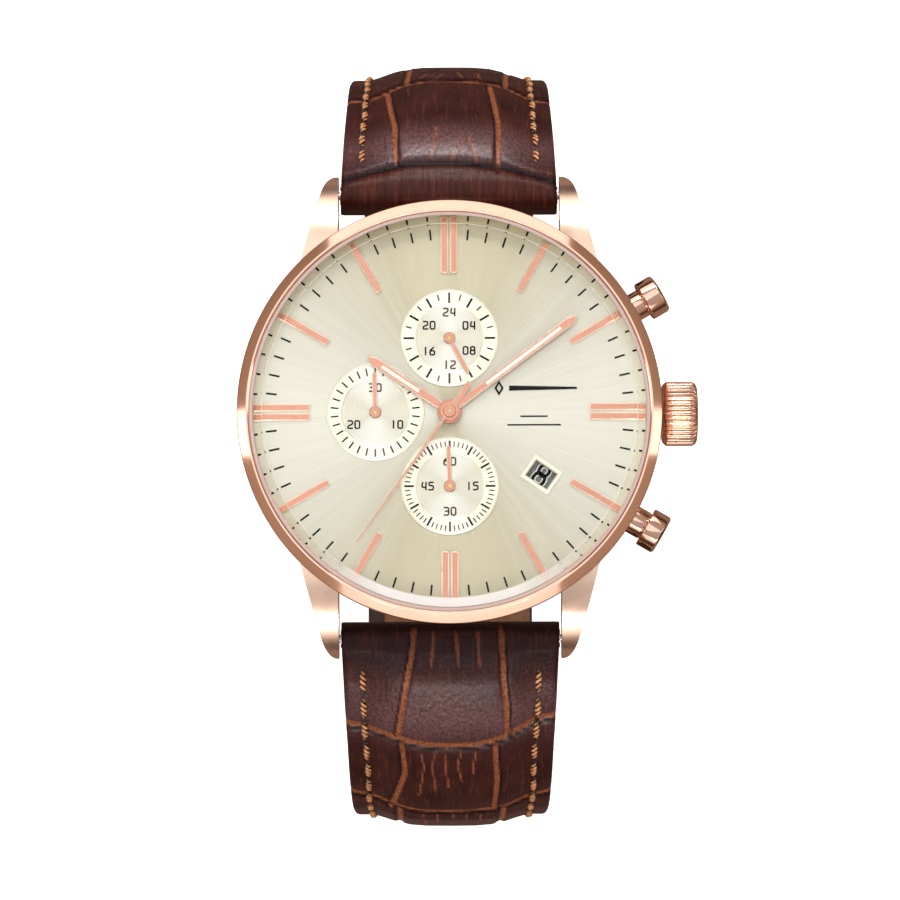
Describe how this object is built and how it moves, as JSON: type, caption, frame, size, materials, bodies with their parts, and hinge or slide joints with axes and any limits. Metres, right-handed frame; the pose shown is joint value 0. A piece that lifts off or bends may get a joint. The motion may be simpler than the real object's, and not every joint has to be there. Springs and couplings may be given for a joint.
{
  "type": "chronograph wristwatch",
  "caption": "Round quartz chronograph wristwatch with a polished case, sub-dials, date window, crown, push-buttons and a padded leather strap closed by a tang buckle.",
  "frame": {"origin": "centre of the case back's flat outer face", "axes": "+Z is the dial's outward normal, +Y points to 12 o'clock, +X to the crown at 3 o'clock"},
  "size_m": [0.0457, 0.0791, 0.0609],
  "materials": {
    "rose_gold": "polished rose-gold plating on steel",
    "rose_gold_hands": "polished rose-gold plated brass",
    "steel": "fine brushed",
    "crystal_glass": "polished mineral glass",
    "gasket_pink": "translucent nylon",
    "rubber_black": "matt",
    "dial_cream": "sunburst lacquer",
    "dial_silver": "azure-cut silver lacquer",
    "date_white": "matt white print base",
    "plate_brass": "gilt, matt",
    "gear_brass": "gilt",
    "board_green": "solder mask",
    "holder_white": "matt",
    "battery_steel": "satin nickel",
    "coil_copper": "enamelled winding",
    "leather_brown": "embossed crocodile pattern, semi-gloss"
  },
  "bodies": {
    "watch": {"case_middle": "rose_gold", "bezel": "rose_gold", "crystal": "crystal_glass", "crystal_gasket": "gasket_pink", "case_back": "steel", "case_back_gasket": "rubber_black", "crown_tube": "steel", "pusher_tube_2": "steel", "pusher_tube_4": "steel", "movement_ring": "holder_white", "main_plate": "plate_brass", "train_bridge": "plate_brass", "circuit_board": "board_green", "battery": "battery_steel", "battery_clamp": "steel", "coil_time": "coil_copper", "coil_chrono": "coil_copper", "dial": "dial_cream", "subdial_12": "dial_silver", "subdial_9": "dial_silver", "subdial_6": "dial_silver", "date_frame": "rose_gold_hands", "hour_markers": "rose_gold_hands", "dial_emblem": "rose_gold_hands", "strap_12": "leather_brown", "strap_6": "leather_brown", "fixed_keeper": "leather_brown", "lug_bar_12": "steel", "lug_bar_6": "steel", "buckle_frame": "rose_gold", "buckle_bar": "steel"},
    "minute": {"minute_hand": "rose_gold_hands", "cannon_pinion": "gear_brass"},
    "hour": {"hour_hand": "rose_gold_hands", "hour_wheel": "gear_brass"},
    "minute_wheel": {"minute_wheel": "gear_brass"},
    "idler": {"idler_24h": "gear_brass"},
    "day_hand": {"hand_24h": "rose_gold_hands", "wheel_24h": "gear_brass"},
    "sweep": {"chrono_hand": "rose_gold_hands", "chrono_arbor": "gear_brass"},
    "counter": {"hand_30min": "rose_gold_hands", "arbor_30min": "gear_brass"},
    "seconds": {"hand_seconds": "rose_gold_hands", "arbor_seconds": "gear_brass"},
    "date": {"date_ring": "date_white"},
    "rotor_time": {"rotor_time": "steel"},
    "rotor_chrono": {"rotor_chrono": "steel"},
    "clutch": {"clutch": "steel"},
    "crown": {"crown": "rose_gold", "crown_gasket": "rubber_black", "stem": "steel"},
    "pusher_2": {"pusher_2": "rose_gold", "pusher_clip_2": "steel", "pusher_spring_2": "steel"},
    "pusher_4": {"pusher_4": "rose_gold", "pusher_clip_4": "steel", "pusher_spring_4": "steel"},
    "tang": {"tang": "rose_gold"},
    "free_keeper": {"free_keeper": "leather_brown"}
  },
  "joints": [
    {"name": "minute_spin", "type": "hinge", "parent": "watch", "child": "minute", "pos_m": [0, 0, 0.006], "axis": [0, 0, -1], "continuous": true},
    {"name": "hour_spin", "type": "hinge", "parent": "watch", "child": "hour", "pos_m": [0, 0, 0.006], "axis": [0, 0, -1], "continuous": true},
    {"name": "minute_wheel_spin", "type": "hinge", "parent": "watch", "child": "minute_wheel", "pos_m": [0.0012, -0.00208, 0.006], "axis": [0, 0, -1], "continuous": true},
    {"name": "idler_spin", "type": "hinge", "parent": "watch", "child": "idler", "pos_m": [0.00038, 0.00271, 0.006], "axis": [0, 0, -1], "continuous": true},
    {"name": "day_hand_spin", "type": "hinge", "parent": "watch", "child": "day_hand", "pos_m": [0, 0.00735, 0.006], "axis": [0, 0, -1], "continuous": true},
    {"name": "sweep_spin", "type": "hinge", "parent": "watch", "child": "sweep", "pos_m": [0, 0, 0.006], "axis": [0, 0, -1], "continuous": true},
    {"name": "counter_spin", "type": "hinge", "parent": "watch", "child": "counter", "pos_m": [-0.00735, 0, 0.006], "axis": [0, 0, -1], "continuous": true},
    {"name": "seconds_spin", "type": "hinge", "parent": "watch", "child": "seconds", "pos_m": [0, -0.00735, 0.006], "axis": [0, 0, -1], "continuous": true},
    {"name": "date_spin", "type": "hinge", "parent": "watch", "child": "date", "pos_m": [0, 0, 0.006], "axis": [0, 0, -1], "continuous": true},
    {"name": "rotor_time_spin", "type": "hinge", "parent": "watch", "child": "rotor_time", "pos_m": [0.0033, 0.0047, 0.006], "axis": [0, 0, -1], "continuous": true},
    {"name": "rotor_chrono_spin", "type": "hinge", "parent": "watch", "child": "rotor_chrono", "pos_m": [-0.0035, -0.0045, 0.006], "axis": [0, 0, -1], "continuous": true},
    {"name": "crown_turn", "type": "hinge", "parent": "watch", "child": "clutch", "pos_m": [0.0115, 0, 0.0036], "axis": [1, 0, 0], "continuous": true},
    {"name": "crown_pull", "type": "slide", "parent": "clutch", "child": "crown", "axis": [1, 0, 0], "range_m": [0, 0.0016]},
    {"name": "pusher_2_press", "type": "slide", "parent": "watch", "child": "pusher_2", "axis": [-0.866, -0.5, 0], "range_m": [0, 0.0009], "stiffness_N_per_m": 1200, "springref_m": -0.0015, "deforming": ["pusher_spring_2"]},
    {"name": "pusher_4_press", "type": "slide", "parent": "watch", "child": "pusher_4", "axis": [-0.866, 0.5, 0], "range_m": [0, 0.0009], "stiffness_N_per_m": 1200, "springref_m": -0.0015, "deforming": ["pusher_spring_4"]},
    {"name": "tang_lift", "type": "hinge", "parent": "watch", "child": "tang", "pos_m": [0, 0.0022, -0.0476], "axis": [1, 0, 0], "range_deg": [0, 4]},
    {"name": "free_keeper_slide", "type": "slide", "parent": "watch", "child": "free_keeper", "axis": [0, 1, 0], "range_m": [-0.003, 0.0015]}
  ],
  "couplings": [
    {"joint": "hour_spin", "follows": "minute_spin", "ratio": 0.083333},
    {"joint": "minute_wheel_spin", "follows": "minute_spin", "ratio": -0.33333},
    {"joint": "idler_spin", "follows": "minute_spin", "ratio": -0.19608},
    {"joint": "day_hand_spin", "follows": "minute_spin", "ratio": 0.041667},
    {"joint": "seconds_spin", "follows": "minute_spin", "ratio": 60},
    {"joint": "date_spin", "follows": "minute_spin", "ratio": 0.0013441},
    {"joint": "counter_spin", "follows": "sweep_spin", "ratio": 0.033333}
  ]
}
